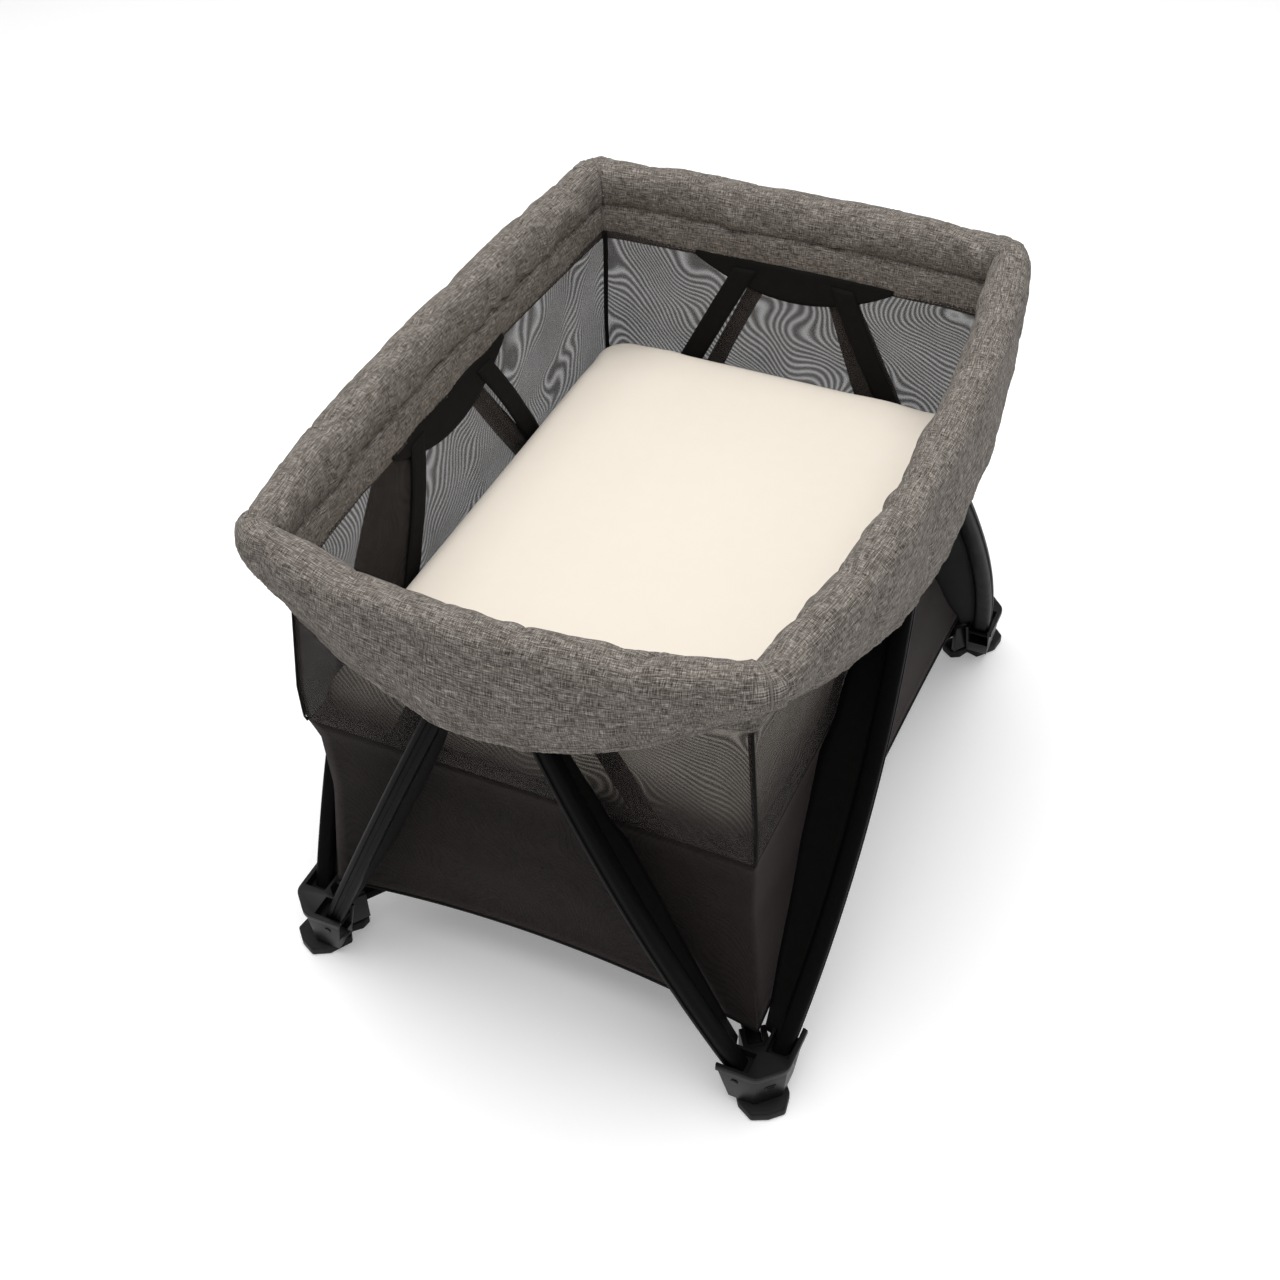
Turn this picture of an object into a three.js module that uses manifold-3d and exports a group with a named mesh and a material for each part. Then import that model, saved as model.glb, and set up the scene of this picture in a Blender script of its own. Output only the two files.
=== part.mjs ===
// A folding playpen with a bassinet inside: a zigzag frame of eight bowed legs, four hubs in the
// middle of the rim's sides, eight half rails, four floor arms that meet in a floor hub, and the
// soft parts that hang on them. Millimetres, +Z up, X along the length, Y across the width, with
// the origin on the floor under the middle. The pen stands open.
import Module from "manifold-3d";
import * as THREE from "three";
import { mergeVertices } from "three/addons/utils/BufferGeometryUtils.js";

const wasm = await Module();
wasm.setup();
const Vec3 = THREE.Vector3;
const Vec2 = THREE.Vector2;

// ---- driving dimensions -------------------------------------------------------------------
const gap = 0.35; // between pieces that touch
const rimCornerX = 472; // centreline of the padded rim at its corners
const rimCornerY = 331;
const rimBowLong = 37; // how far the middle of a side stands out
const rimBowShort = 33;
const rimDipLong = 20; // how far the middle of a side lies lower
const rimDipShort = 15;
const rimTop = 780; // top of the rim at its corners

const footOutset = 7; // centre of a foot beyond the rim's corner, each way
const footX = rimCornerX + footOutset;
const footY = rimCornerY + footOutset;
const foldedRadius = 85; // distance of a foot from the middle when the frame is folded
const hubPivotRadius = 45; // floor arm's pin in the floor hub
const footPivotInset = 40; // floor arm's pin in the foot, inward of the foot's centre
const armPivotZ = 56;
const armWidth = 22;
const armHeight = 17;

const legRadius = 12;
const legInset = 20; // leg's pin in the foot, inward along the side
const legOutset = 18; // leg's pin in the foot, outward of the foot's centre
const legPivotZ = 60;
const legTopZ = 690;
const legBowLong = 24;
const legBowShort = 20;
const legEnd = 10; // leg beyond each pin

const railRadius = 10;
const railSpacing = 30.5; // rail's pin outward of the leg's pin along the side
const railEnd = 4; // rail beyond its pin

const hubSideWall = 4;
const hubPlay = 8; // slot beyond a leg's width
const hubSlot = 2 * legRadius + hubPlay;
const hubThickness = hubSlot + 2 * hubSideWall;
const hubHeight = 74;
const hubWeb = 7;
const hubOverhang = 2; // hub beyond the rail's pin

const bracketSize = 34;
const bracketHeight = 36;

const coverWall = 5.5;
const coverPlay = 2.5; // air between a hub and the padded roll
const coverHalf = hubThickness / 2 + coverPlay + coverWall; // half the width of the rim's padded roll
const railBelowRoll = 14; // rail's centreline under the middle of the roll
const railDrop = coverHalf + railBelowRoll; // and under the rim's crest
const valanceDepth = 118; // inner flap of the rim cover, from the crest
const bandCornerDepth = 50; // outer band of the rim cover, from the crest
const bandMidLong = 158;
const bandMidShort = 166;
const bandFlare = 8; // how far the band's lower edge stands out in the middle
const bandPower = 1.3;

const wallThickness = 3;
const wallGap = 2; // under the rim's inner flap
const wallInset = 12; // mesh wall's corner around the bassinet, inward of the rim's corner
const wallX = rimCornerX - wallInset;
const wallY = rimCornerY - wallInset;
const bassinetTopZ = 480;
const bassinetLowZ = 436;
const skirtInsetX = 10; // corner of the wall's lower edge, inward of the rim's corner
const skirtInsetY = 5;
const skirtCornerX = rimCornerX - skirtInsetX;
const skirtCornerY = rimCornerY - skirtInsetY;
const skirtZ = 104;
const skirtArch = 24;
const skirtTuck = 10; // how far the lower edge of a short side pulls in

const floorZ = 98;
const floorThickness = 3;
const floorHole = 42;
const floorMargin = 10;

const mattressThickness = 54;
const mattressMargin = 8;
const mattressRadius = 45;
const trayThickness = 4;

const strapWidth = 38;
const strapThickness = 2.5;
const strapClear = 2.5;
const strapTopLong = 95; // half the distance between a side's two straps, at the flap
const strapTopShort = 78;
const strapSpread = 88;
const strapTopZ = 634;
const flapHalf = 158;
const flapDepth = 40;

const padHeight = 16;
const footHeight = 88;
const slotClear = 0.6;

// ---- colours ------------------------------------------------------------------------------
const looks = {
  tube: new THREE.MeshStandardMaterial({ color: 0x2b2b2c, roughness: 0.38, metalness: 0.4 }),
  plastic: new THREE.MeshStandardMaterial({ color: 0x1d1c1c, roughness: 0.5, metalness: 0 }),
  rubber: new THREE.MeshStandardMaterial({ color: 0x161515, roughness: 0.75, metalness: 0 }),
  melange: new THREE.MeshStandardMaterial({ color: 0x7d7770, roughness: 0.95, metalness: 0 }),
  mesh: new THREE.MeshStandardMaterial({ color: 0x2c2426, roughness: 0.9, metalness: 0 }),
  webbing: new THREE.MeshStandardMaterial({ color: 0x141314, roughness: 0.85, metalness: 0 }),
  sheet: new THREE.MeshStandardMaterial({ color: 0xf6ecdc, roughness: 0.9, metalness: 0 }),
};

// ---- worked-out sizes ---------------------------------------------------------------------
const diagonal = Math.atan2(footY, footX);
const footRadius = Math.hypot(footX, footY);
const foldedX = foldedRadius * Math.cos(diagonal);
const foldedY = foldedRadius * Math.sin(diagonal);

// Each side of the pen in its own terms: a point lies `along` the side, `out` from the middle of
// the pen and at height z.
function side(name, long, place, ends) {
  return {
    name,
    place,
    ends,
    half: long ? rimCornerX : rimCornerY,
    cornerOut: long ? rimCornerY : rimCornerX,
    bow: long ? rimBowLong : rimBowShort,
    dip: long ? rimDipLong : rimDipShort,
    footAlong: long ? footX : footY,
    footOut: long ? footY : footX,
    legBow: long ? legBowLong : legBowShort,
    legTopAlong: (long ? foldedX : foldedY) - legInset,
    bandMid: long ? bandMidLong : bandMidShort,
    wallAlong: long ? wallX : wallY,
    wallOut: long ? wallY : wallX,
    skirtAlong: long ? skirtCornerX : skirtCornerY,
    skirtOut: long ? skirtCornerY : skirtCornerX,
    skirtTuck: long ? 0 : skirtTuck,
    strapTop: long ? strapTopLong : strapTopShort,
  };
}

const sides = [
  side("front", true, (a, o, z) => new Vec3(a, -o, z), ["left", "right"]),
  side("rear", true, (a, o, z) => new Vec3(a, o, z), ["left", "right"]),
  side("left_end", false, (a, o, z) => new Vec3(-o, a, z), ["front", "rear"]),
  side("right_end", false, (a, o, z) => new Vec3(o, a, z), ["front", "rear"]),
];
const corners = [
  { name: "front_left", x: -1, y: -1 },
  { name: "front_right", x: 1, y: -1 },
  { name: "rear_right", x: 1, y: 1 },
  { name: "rear_left", x: -1, y: 1 },
];

const middleness = (s, along) => 1 - (along / s.half) ** 2;
const rimOut = (s, along) => s.cornerOut + s.bow * middleness(s, along);
const rimCrest = (s, along) => rimTop - s.dip * middleness(s, along);
const railPin = (s) => s.legTopAlong + railSpacing;
const hubOut = (s) => rimOut(s, railPin(s));

// ---- solids -------------------------------------------------------------------------------
function toManifold(geometry) {
  const bare = geometry.clone();
  bare.deleteAttribute("normal");
  bare.deleteAttribute("uv");
  const merged = mergeVertices(bare, 1e-4);
  return new wasm.Manifold(new wasm.Mesh({
    numProp: 3,
    vertProperties: new Float32Array(merged.attributes.position.array),
    triVerts: new Uint32Array(merged.index.array),
  }));
}

function fromManifold(solid) {
  const { vertProperties, triVerts } = solid.getMesh();
  const geometry = new THREE.BufferGeometry();
  geometry.setAttribute("position", new THREE.BufferAttribute(vertProperties, 3));
  geometry.setIndex(new THREE.BufferAttribute(triVerts, 1));
  return geometry;
}

function cut(geometry, ...tools) {
  return fromManifold(tools.reduce((solid, tool) => solid.subtract(toManifold(tool)), toManifold(geometry)));
}

function join(geometry, ...others) {
  return fromManifold(others.reduce((solid, other) => solid.add(toManifold(other)), toManifold(geometry)));
}

// A closed geometry from points and triangles, turned so that its faces point out.
function closed(points, triangles) {
  let volume = 0;
  const cross = new Vec3();
  for (let i = 0; i < triangles.length; i += 3) {
    const [a, b, c] = [points[triangles[i]], points[triangles[i + 1]], points[triangles[i + 2]]];
    volume += a.dot(cross.crossVectors(b, c));
  }
  const index = volume < 0 ? triangles.slice().reverse() : triangles;
  const geometry = new THREE.BufferGeometry().setFromPoints(points);
  geometry.setIndex(index);
  return geometry;
}

// Joins rings of points, all with as many points as the flat outline that closes both ends.
function loft(rings, outline) {
  const n = outline.length;
  const points = rings.flat();
  const triangles = [];
  for (let r = 0; r + 1 < rings.length; r += 1) {
    for (let i = 0; i < n; i += 1) {
      const j = (i + 1) % n;
      const [a, b, c, d] = [r * n + i, r * n + j, (r + 1) * n + i, (r + 1) * n + j];
      triangles.push(a, b, c, b, d, c);
    }
  }
  const last = (rings.length - 1) * n;
  const sweep = Math.sign(THREE.ShapeUtils.area(outline));
  for (const [a, b, c] of THREE.ShapeUtils.triangulateShape(outline, [])) {
    const turn = Math.sign(THREE.ShapeUtils.area([outline[a], outline[b], outline[c]]));
    const [p, q] = turn === sweep ? [c, b] : [b, c];
    triangles.push(a, p, q, last + a, last + q, last + p);
  }
  return closed(points, triangles);
}

// A sheet of even thickness over a grid: at(u, v) gives along, out and z; u and v run 0 to 1.
function sheet(place, thickness, at, columns, rows) {
  const points = [];
  for (const shift of [-thickness / 2, thickness / 2]) {
    for (let i = 0; i <= columns; i += 1) {
      for (let j = 0; j <= rows; j += 1) {
        const [along, out, z] = at(i / columns, j / rows);
        points.push(place(along, out + shift, z));
      }
    }
  }
  const stride = rows + 1;
  const layer = (columns + 1) * stride;
  const id = (i, j, k) => k * layer + i * stride + j;
  const triangles = [];
  const quad = (a, b, c, d) => triangles.push(a, b, c, a, c, d);
  for (let i = 0; i < columns; i += 1) {
    for (let j = 0; j < rows; j += 1) {
      quad(id(i, j, 0), id(i + 1, j, 0), id(i + 1, j + 1, 0), id(i, j + 1, 0));
      quad(id(i, j, 1), id(i, j + 1, 1), id(i + 1, j + 1, 1), id(i + 1, j, 1));
    }
    quad(id(i, 0, 1), id(i + 1, 0, 1), id(i + 1, 0, 0), id(i, 0, 0));
    quad(id(i, rows, 0), id(i + 1, rows, 0), id(i + 1, rows, 1), id(i, rows, 1));
  }
  for (let j = 0; j < rows; j += 1) {
    quad(id(0, j, 0), id(0, j + 1, 0), id(0, j + 1, 1), id(0, j, 1));
    quad(id(columns, j, 1), id(columns, j + 1, 1), id(columns, j + 1, 0), id(columns, j, 0));
  }
  return closed(points, triangles);
}

function roundedRectangle(halfX, halfY, radius, curve) {
  const shape = new THREE.Shape();
  shape.moveTo(halfX - radius, -halfY);
  shape.absarc(halfX - radius, -halfY + radius, radius, -Math.PI / 2, 0);
  shape.absarc(halfX - radius, halfY - radius, radius, 0, Math.PI / 2);
  shape.absarc(-halfX + radius, halfY - radius, radius, Math.PI / 2, Math.PI);
  shape.absarc(-halfX + radius, -halfY + radius, radius, Math.PI, Math.PI * 1.5);
  return new THREE.Shape(shape.getPoints(curve));
}

function circle(radius, sides) {
  const turn = (i) => (2 * Math.PI * (i + 0.5)) / sides;
  return Array.from({ length: sides }, (_, i) => {
    return new Vec2(radius * Math.cos(turn(i)), radius * Math.sin(turn(i)));
  });
}

function plate(shape, z, thickness) {
  const geometry = new THREE.ExtrudeGeometry(shape, { depth: thickness, bevelEnabled: false });
  return geometry.translate(0, 0, z);
}

function box(x0, x1, y0, y1, z0, z1) {
  const geometry = new THREE.BoxGeometry(x1 - x0, y1 - y0, z1 - z0);
  return geometry.translate((x0 + x1) / 2, (y0 + y1) / 2, (z0 + z1) / 2);
}

// ---- the parts' group ---------------------------------------------------------------------
const group = new THREE.Group();

function add(name, geometry, material) {
  const mesh = new THREE.Mesh(geometry, looks[material]);
  mesh.name = name;
  group.add(mesh);
  return mesh;
}

class Path extends THREE.Curve {
  constructor(at) {
    super();
    this.at = at;
  }

  getPoint(t) {
    return this.at(t);
  }
}

function tube(path, radius, facets, steps) {
  return new THREE.ExtrudeGeometry(new THREE.Shape(circle(radius, facets)), {
    steps,
    extrudePath: new Path(path),
    bevelEnabled: false,
  });
}

// ---- frame --------------------------------------------------------------------------------
// A leg runs from its pin in a foot to its pin in the side's hub, bowed outwards.
function legPoint(s, sign, u) {
  const along = THREE.MathUtils.lerp(s.footAlong - legInset, s.legTopAlong, u);
  const straight = THREE.MathUtils.lerp(s.footOut + legOutset, hubOut(s), u);
  const out = straight + 4 * s.legBow * u * (1 - u);
  return s.place(sign * along, out, THREE.MathUtils.lerp(legPivotZ, legTopZ, u));
}

function leg(s, sign) {
  const run = s.footAlong - legInset - s.legTopAlong;
  const beyond = legEnd / Math.hypot(run, legTopZ - legPivotZ);
  return tube((t) => legPoint(s, sign, THREE.MathUtils.lerp(-beyond, 1 + beyond, t)), legRadius, 10, 14);
}

// A half rail follows the rim's curve from its pin in the hub to the corner bracket.
function rail(s, sign) {
  const start = railPin(s) - railEnd;
  const end = s.half - bracketSize / 2 - gap - (railRadius * 2 * s.bow) / s.half;
  return tube((t) => {
    const along = THREE.MathUtils.lerp(start, end, t);
    return s.place(sign * along, rimOut(s, along), rimCrest(s, along) - railDrop);
  }, railRadius, 8, 6);
}

// The hub is a channel: two cheeks and a web over the ends of its legs and rails.
function hub(s) {
  const halfWidth = railPin(s) + hubOverhang;
  const top = rimCrest(s, 0) - railDrop + railRadius + hubWeb + 1;
  const low = top - hubHeight;
  const shape = new THREE.Shape([
    new Vec2(-halfWidth, top - 4),
    new Vec2(-halfWidth + 6, top),
    new Vec2(halfWidth - 6, top),
    new Vec2(halfWidth, top - 4),
    new Vec2(halfWidth, top - hubHeight / 2),
    new Vec2(halfWidth - railSpacing / 2, low),
    new Vec2(-halfWidth + railSpacing / 2, low),
    new Vec2(-halfWidth, top - hubHeight / 2),
  ]);
  const blank = new THREE.ExtrudeGeometry(shape, { depth: hubThickness, bevelEnabled: false });
  const slot = box(-halfWidth - 1, halfWidth + 1, low - 1, top - hubWeb, 0, hubSlot);
  slot.translate(0, 0, (hubThickness - hubSlot) / 2);
  const channel = cut(blank, slot);
  const position = channel.attributes.position;
  const points = [];
  for (let i = 0; i < position.count; i += 1) {
    const out = hubOut(s) - hubThickness / 2 + position.getZ(i);
    points.push(s.place(position.getX(i), out, position.getY(i)));
  }
  return closed(points, Array.from(channel.index.array));
}

function cornerBracket(corner) {
  const shape = roundedRectangle(bracketSize / 2, bracketSize / 2, 6, 3);
  const geometry = plate(shape, rimTop - railDrop - bracketHeight / 2, bracketHeight);
  return geometry.translate(corner.x * rimCornerX, corner.y * rimCornerY, 0);
}

for (const s of sides) {
  for (const [i, end] of s.ends.entries()) {
    const sign = i === 0 ? -1 : 1;
    add(`${s.name}_leg_${end}`, leg(s, sign), "tube");
    add(`${s.name}_rail_${end}`, rail(s, sign), "tube");
  }
  add(`${s.name}_hub`, hub(s), "plastic");
}
for (const corner of corners) add(`corner_bracket_${corner.name}`, cornerBracket(corner), "plastic");

// ---- feet ---------------------------------------------------------------------------------
// Outlines in a foot's own terms: p outward along X and q outward along Y from the foot's centre.
const footTop = [
  [-58, 42], [10, 42], [42, 10], [42, -48], [1, -48], [1, -12], [-12, 1], [-58, 1],
];
const footLow = [
  [-34, 35], [6, 35], [35, 6], [35, -32], [1, -32], [1, -10], [-10, 1], [-34, 1],
];
const pocketReach = 60;
const tongueLength = 52;
const tongueHalf = 18.5;
const tongueTop = 72;
const tongueLow = 22;

function footFrame(corner, p, q, z) {
  return new Vec3(corner.x * (footX + p), corner.y * (footY + q), z);
}

function prism(corner, outline, z0, z1) {
  const rings = [z0, z1].map((z) => outline.map(([p, q]) => footFrame(corner, p, q, z)));
  return loft(rings, outline.map(([p, q]) => new Vec2(p, q)));
}

// Room for a leg between its open lean and upright, open above and towards the side's middle.
function legPocket(corner, swap, lean) {
  const wide = legRadius + slotClear;
  const outer = legInset - legEnd * Math.sin(lean) - wide * Math.cos(lean) - 1;
  const inner = pocketReach;
  const low = legPivotZ - legEnd * Math.cos(lean) - wide * Math.sin(lean) - 2;
  const profile = [[outer, low], [outer, footHeight + 1], [inner, footHeight + 1], [inner, low]];
  const rings = [legOutset - wide - 0.4, legOutset + wide + 7].map((q) => {
    return profile.map(([a, z]) => (swap ? footFrame(corner, q, -a, z) : footFrame(corner, -a, q, z)));
  });
  return loft(rings, profile.map(([a, z]) => new Vec2(a, z)));
}

function alongDiagonal(geometry, corner) {
  const turned = geometry.clone().rotateZ(Math.atan2(corner.y * footY, corner.x * footX));
  return turned;
}

function footSocket(corner) {
  const rings = [
    footLow.map(([p, q]) => footFrame(corner, p, q, padHeight + gap)),
    footTop.map(([p, q]) => footFrame(corner, p, q, footHeight)),
  ];
  const body = loft(rings, footLow.map(([p, q]) => new Vec2(p, q)));
  const inner = footRadius - tongueLength;
  const tongue = alongDiagonal(box(inner, footRadius, -tongueHalf, tongueHalf, tongueLow, tongueTop), corner);
  const halfSlot = armWidth / 2 + slotClear;
  const armSlot = alongDiagonal(
    box(inner - 1, footRadius - footPivotInset + armHeight / 2 + 6, -halfSlot, halfSlot, 0, footHeight + 1),
    corner,
  );
  const longSide = sides[0];
  const shortSide = sides[2];
  const leanOf = (s) => Math.atan2(s.footAlong - legInset - s.legTopAlong, legTopZ - legPivotZ);
  return cut(
    join(body, tongue),
    armSlot,
    legPocket(corner, false, leanOf(longSide)),
    legPocket(corner, true, leanOf(shortSide)),
  );
}

// The rubber pad has an outer lobe under the socket and an inner lobe under the tongue.
function footPad(corner) {
  const outline = [
    [46, -24], [50, 0], [46, 24], [22, 36], [-14, 34], [-20, 16], [-38, 19], [-52, 12],
    [-52, -12], [-38, -19], [-20, -16], [-14, -34], [22, -36],
  ].map(([r, w]) => new Vec2(r, w));
  const pad = plate(new THREE.Shape(outline), 0, padHeight).translate(footRadius, 0, 0);
  return alongDiagonal(pad, corner);
}

for (const corner of corners) {
  add(`foot_socket_${corner.name}`, footSocket(corner), "plastic");
  add(`foot_pad_${corner.name}`, footPad(corner), "rubber");
}

// ---- floor --------------------------------------------------------------------------------
function floorArm(corner) {
  const section = roundedRectangle(armWidth / 2, armHeight / 2, 4, 2);
  const start = hubPivotRadius - armHeight / 2;
  const length = footRadius - footPivotInset + armHeight / 2 - start;
  const bar = new THREE.ExtrudeGeometry(section, { depth: length, bevelEnabled: false });
  bar.rotateX(Math.PI / 2).rotateZ(Math.PI / 2).translate(start, 0, armPivotZ);
  return alongDiagonal(bar, corner);
}

const floorHubRadius = 60;
const floorHubLow = armPivotZ - 13;
const floorHubTop = armPivotZ + 24;
const handleHalf = 24;
const handleBar = 5;

function floorHub() {
  const disc = plate(new THREE.Shape(circle(floorHubRadius, 24)), floorHubLow, floorHubTop - floorHubLow);
  const halfSlot = armWidth / 2 + slotClear;
  const slotStart = hubPivotRadius - armHeight / 2 - 6;
  const slots = corners.map((corner) => alongDiagonal(
    box(slotStart, floorHubRadius + 5, -halfSlot, halfSlot, floorHubLow - 1, armPivotZ + armHeight / 2 + 6),
    corner,
  ));
  return cut(disc, ...slots);
}

// A D-shaped pull handle that stands in the middle of the floor hub.
function foldHandle() {
  const shape = new THREE.Shape([
    new Vec2(-handleHalf, 0),
    new Vec2(handleHalf, 0),
    new Vec2(handleHalf, 26),
    new Vec2(handleHalf - 8, 36),
    new Vec2(-handleHalf + 8, 36),
    new Vec2(-handleHalf, 26),
  ]);
  const finger = new THREE.Path([
    new Vec2(-handleHalf + 8, 9),
    new Vec2(-handleHalf + 8, 23),
    new Vec2(-handleHalf + 12, 28),
    new Vec2(handleHalf - 12, 28),
    new Vec2(handleHalf - 8, 23),
    new Vec2(handleHalf - 8, 9),
  ]);
  shape.holes.push(finger);
  const geometry = new THREE.ExtrudeGeometry(shape, { depth: 2 * handleBar, bevelEnabled: false });
  return geometry.rotateX(Math.PI / 2).translate(0, handleBar, floorHubTop + gap);
}

function floorPanel() {
  const shape = roundedRectangle(skirtCornerX - skirtTuck - floorMargin, skirtCornerY - floorMargin, 30, 3);
  shape.holes.push(new THREE.Path(circle(floorHole, 20)));
  return plate(shape, floorZ, floorThickness);
}

for (const corner of corners) add(`floor_arm_${corner.name}`, floorArm(corner), "tube");
add("floor_hub", floorHub(), "plastic");
add("fold_handle", foldHandle(), "plastic");
add("floor_panel", floorPanel(), "webbing");

// ---- soft cover of the rim ----------------------------------------------------------------
const bandShare = (s, along) => 1 - Math.cos((Math.abs(along) / s.half) * (Math.PI / 2)) ** bandPower;

// The cover's cross-section at a place along the side: an upturned U, deeper outside.
function coverSection(s, along) {
  const depth = THREE.MathUtils.lerp(s.bandMid, bandCornerDepth, bandShare(s, along));
  const flare = bandFlare * middleness(s, along);
  const inner = coverHalf - coverWall;
  const arc = (radius, i, n) => {
    const turn = (Math.PI * i) / n;
    return [-radius * Math.cos(turn), -coverHalf + radius * Math.sin(turn)];
  };
  const steps = 6;
  const outside = Array.from({ length: steps + 1 }, (_, i) => arc(coverHalf, i, steps));
  const inside = Array.from({ length: steps + 1 }, (_, i) => arc(inner, steps - i, steps));
  return [
    [-coverHalf, -valanceDepth],
    ...outside,
    [coverHalf + flare / 2, -(coverHalf + depth) / 2],
    [coverHalf + flare, -depth],
    [inner + flare, -depth],
    [inner + flare / 2, -(coverHalf + depth) / 2],
    ...inside,
    [-inner, -valanceDepth],
  ];
}

// Half of a side's cover, from the side's middle to the mitred corner.
function coverHalfSide(s, sign) {
  const steps = 8;
  const rings = Array.from({ length: steps + 1 }, (_, i) => {
    const station = THREE.MathUtils.lerp(gap / 2, s.half, i / steps);
    return coverSection(s, station).map(([o, z]) => {
      const mitre = o * (i / steps) ** 6;
      const along = station + mitre - (i === steps ? gap : 0);
      return s.place(sign * along, rimOut(s, station) + o, rimCrest(s, station) + z);
    });
  });
  return loft(rings, coverSection(s, 0).map(([o, z]) => new Vec2(o, z)));
}

for (const s of sides) {
  for (const [i, end] of s.ends.entries()) {
    add(`${s.name}_rim_cover_${end}`, coverHalfSide(s, i === 0 ? -1 : 1), "melange");
  }
}

// ---- mesh walls, bassinet and mattress ----------------------------------------------------
// A wall hangs from the rim's inner flap, runs straight around the bassinet and ends in an arch.
function wallPoint(s, u, v) {
  const t = 2 * u - 1;
  const edge = s.half - coverHalf;
  const levels = [
    [edge, rimOut(s, t * edge) - coverHalf + coverWall / 2, rimCrest(s, t * edge) - valanceDepth - wallGap],
    [s.wallAlong, s.wallOut, bassinetTopZ],
    [s.wallAlong, s.wallOut, bassinetLowZ],
    [s.skirtAlong, s.skirtOut - s.skirtTuck * (1 - t * t), skirtZ + skirtArch * (1 - t * t)],
  ];
  const place = v * (levels.length - 1);
  const low = Math.min(Math.floor(place), levels.length - 2);
  const between = (value, k) => THREE.MathUtils.lerp(value, levels[low + 1][k], place - low);
  const [half, out, z] = levels[low].map(between);
  return [t * (half - wallThickness - gap), out, z];
}

function wall(s) {
  return sheet(s.place, wallThickness, (u, v) => wallPoint(s, u, v), 12, 6);
}

for (const s of sides) add(`${s.name}_mesh_wall`, wall(s), "mesh");

function mattress() {
  const halfX = wallX - mattressMargin;
  const halfY = wallY - mattressMargin;
  const shape = roundedRectangle(halfX, halfY, mattressRadius, 4);
  return plate(shape, bassinetLowZ + trayThickness + gap, mattressThickness);
}

function bassinetTray() {
  const halfX = wallX - mattressMargin;
  const halfY = wallY - mattressMargin;
  return plate(roundedRectangle(halfX, halfY, mattressRadius, 4), bassinetLowZ, trayThickness);
}

// A flap under the rim's inner flap with two straps that spread down to the bassinet's edge.
function strapOutline(s) {
  const low = bassinetTopZ + 2;
  const bottom = s.strapTop + strapSpread;
  const w = strapWidth / 2;
  const half = [
    [flapHalf, strapTopZ],
    [s.strapTop + w + 8, strapTopZ - flapDepth * 0.72],
    [bottom + w, low],
    [bottom - w, low],
    [s.strapTop - w, strapTopZ - flapDepth * 0.95],
  ];
  return [...half, ...half.slice().reverse().map(([a, z]) => [-a, z])];
}

function strap(s) {
  const outline = strapOutline(s);
  const inset = wallThickness / 2 + strapClear + strapThickness / 2;
  const rings = [-strapThickness / 2, strapThickness / 2].map((shift) => outline.map(([a, z]) => {
    const topZ = rimCrest(s, a) - valanceDepth;
    const v = THREE.MathUtils.clamp((topZ - z) / (topZ - bassinetTopZ), 0, 1);
    const t = a / s.half;
    const top = s.cornerOut - coverHalf + coverWall / 2 + s.bow * (1 - t * t);
    return s.place(a, THREE.MathUtils.lerp(top, s.wallOut, v) - inset + shift, z);
  }));
  return loft(rings, outline.map(([a, z]) => new Vec2(a, z)));
}

add("mattress", mattress(), "sheet");
add("bassinet_tray", bassinetTray(), "mesh");
for (const s of sides) add(`bassinet_strap_${s.name}`, strap(s), "webbing");

export default group;
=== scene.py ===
"""The looks of a folding playpen with a raised bassinet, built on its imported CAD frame.

Lengths are in metres, +Z up. A side of the pen has its own terms: `along` runs along the side from
its middle, `out` is the distance from the pen's middle, and z is the height.
"""

import math

import bmesh
import bpy
import numpy as np
from mathutils import Matrix, Vector, noise


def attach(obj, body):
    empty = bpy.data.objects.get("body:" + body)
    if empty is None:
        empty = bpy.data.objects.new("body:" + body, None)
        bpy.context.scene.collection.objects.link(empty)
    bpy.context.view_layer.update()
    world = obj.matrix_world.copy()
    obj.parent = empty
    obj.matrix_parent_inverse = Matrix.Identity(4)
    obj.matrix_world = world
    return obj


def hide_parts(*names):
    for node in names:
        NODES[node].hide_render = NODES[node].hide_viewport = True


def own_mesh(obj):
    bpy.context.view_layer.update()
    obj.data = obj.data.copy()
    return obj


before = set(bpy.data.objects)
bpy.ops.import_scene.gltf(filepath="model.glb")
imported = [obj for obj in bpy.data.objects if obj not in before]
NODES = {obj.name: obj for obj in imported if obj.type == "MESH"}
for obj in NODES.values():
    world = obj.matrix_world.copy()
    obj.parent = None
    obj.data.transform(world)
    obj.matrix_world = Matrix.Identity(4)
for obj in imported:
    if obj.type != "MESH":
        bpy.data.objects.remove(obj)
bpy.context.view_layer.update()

# ---- sizes, as in the CAD part --------------------------------------------------------------
RIM_X, RIM_Y = 0.472, 0.331
BOW_LONG, BOW_SHORT = 0.037, 0.033
DIP_LONG, DIP_SHORT = 0.020, 0.015
RIM_TOP = 0.780
FOOT_X, FOOT_Y = 0.479, 0.338
FOLDED_RADIUS = 0.085
LEG_INSET, LEG_OUTSET = 0.020, 0.018
LEG_PIVOT_Z, LEG_TOP_Z = 0.060, 0.690
LEG_BOW_LONG, LEG_BOW_SHORT = 0.024, 0.020
LEG_END = 0.010
RAIL_SPACING, RAIL_DROP, RAIL_RADIUS = 0.0305, 0.042, 0.010
BRACKET = 0.034
VALANCE = 0.118
SEAM = 0.061
BAND_CORNER, BAND_LONG, BAND_SHORT = 0.054, 0.155, 0.163
BAND_FLARE, BAND_POWER = 0.008, 1.15
WALL_X, WALL_Y = 0.460, 0.319
WALL_LAP = 0.012  # how far a wall reaches up behind the inner flap
WALL_HOLLOW = 0.006  # how far the middle of an upper wall draws in
WALL_BELLY = 0.010  # how far the middle of a lower wall stands out
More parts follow.
